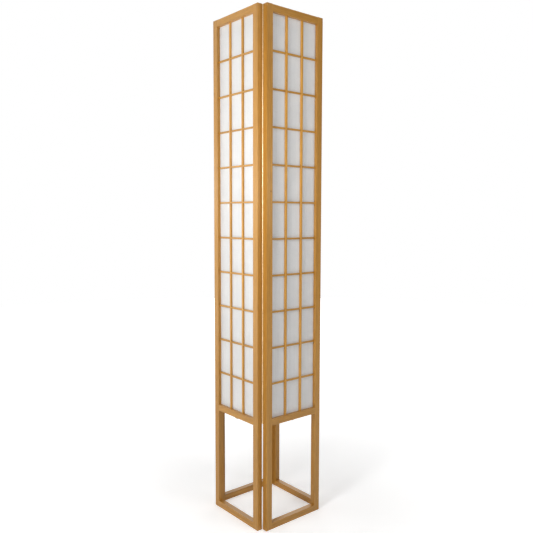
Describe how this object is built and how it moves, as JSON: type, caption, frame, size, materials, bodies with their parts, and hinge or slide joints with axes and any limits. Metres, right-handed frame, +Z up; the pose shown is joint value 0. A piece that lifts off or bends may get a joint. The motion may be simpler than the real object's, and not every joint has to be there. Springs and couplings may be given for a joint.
{
  "type": "andon floor lamp",
  "caption": "Square column floor lamp of four hinged wooden shoji panels with white paper panes above an open base; the panels fold flat round a scissor brace that carries the bulb.",
  "frame": {"origin": "on the floor at the middle of the square column", "axes": "+Z up along the column, -Y out of the front panel, -X out of the left panel"},
  "size_m": [0.3062, 0.3062, 1.829],
  "materials": {
    "frame_wood": "satin clear finish on pale honey softwood",
    "grid_wood": "satin clear finish on pale honey softwood",
    "shoji_paper": "matte white paper with long fibres",
    "brass": "satin brass-plated strip",
    "steel": "yellow zinc plated",
    "stem_steel": "zinc plated pipe",
    "holder_plastic": "black moulded",
    "bulb_glass": "frosted white"
  },
  "bodies": {
    "front_panel": {"front_left_stile": "frame_wood", "front_right_stile": "frame_wood", "front_top_rail": "frame_wood", "front_shade_rail": "frame_wood", "front_foot_rail": "frame_wood", "front_grid_uprights": "grid_wood", "front_grid_bars": "grid_wood", "front_paper": "shoji_paper", "front_paper_stops": "grid_wood", "front_hinge_leaves": "brass", "front_brace_bracket": "steel"},
    "right_panel": {"right_front_stile": "frame_wood", "right_back_stile": "frame_wood", "right_top_rail": "frame_wood", "right_shade_rail": "frame_wood", "right_foot_rail": "frame_wood", "right_grid_uprights": "grid_wood", "right_grid_bars": "grid_wood", "right_paper": "shoji_paper", "right_paper_stops": "grid_wood", "right_hinge_leaves": "brass", "right_brace_bracket": "steel"},
    "back_panel": {"back_right_stile": "frame_wood", "back_left_stile": "frame_wood", "back_top_rail": "frame_wood", "back_shade_rail": "frame_wood", "back_foot_rail": "frame_wood", "back_grid_uprights": "grid_wood", "back_grid_bars": "grid_wood", "back_paper": "shoji_paper", "back_paper_stops": "grid_wood", "back_hinge_leaves": "brass", "back_brace_bracket": "steel"},
    "left_panel": {"left_back_stile": "frame_wood", "left_front_stile": "frame_wood", "left_top_rail": "frame_wood", "left_shade_rail": "frame_wood", "left_foot_rail": "frame_wood", "left_grid_uprights": "grid_wood", "left_grid_bars": "grid_wood", "left_paper": "shoji_paper", "left_paper_stops": "grid_wood", "left_hinge_leaves": "brass", "left_brace_bracket": "steel"},
    "front_back_brace": {"front_back_brace": "steel"},
    "left_right_brace": {"left_right_brace": "steel", "lamp_stem": "stem_steel", "lock_nuts": "steel", "lamp_holder": "holder_plastic", "bulb": "bulb_glass"}
  },
  "joints": [
    {"name": "left_fold", "type": "hinge", "parent": "front_panel", "child": "left_panel", "pos_m": [-0.13065, -0.13065, 0], "axis": [0, 0, 1], "range_deg": [-80, 80]},
    {"name": "right_fold", "type": "hinge", "parent": "front_panel", "child": "right_panel", "pos_m": [0.13065, -0.13065, 0], "axis": [0, 0, 1], "range_deg": [-80, 80]},
    {"name": "back_fold", "type": "hinge", "parent": "left_panel", "child": "back_panel", "pos_m": [-0.13065, 0.13065, 0], "axis": [0, 0, 1], "range_deg": [-80, 80]},
    {"name": "front_brace_pivot", "type": "hinge", "parent": "front_panel", "child": "front_back_brace", "pos_m": [0, -0.13065, 0.377], "axis": [0, 0, 1], "range_deg": [-80, 80]},
    {"name": "left_brace_pivot", "type": "hinge", "parent": "left_panel", "child": "left_right_brace", "pos_m": [-0.13065, 0, 0.375], "axis": [0, 0, 1], "range_deg": [-80, 80]}
  ],
  "couplings": [
    {"joint": "right_fold", "follows": "left_fold", "ratio": 1},
    {"joint": "back_fold", "follows": "left_fold", "ratio": -1},
    {"joint": "front_brace_pivot", "follows": "left_fold", "ratio": 1},
    {"joint": "left_brace_pivot", "follows": "left_fold", "ratio": -1}
  ]
}
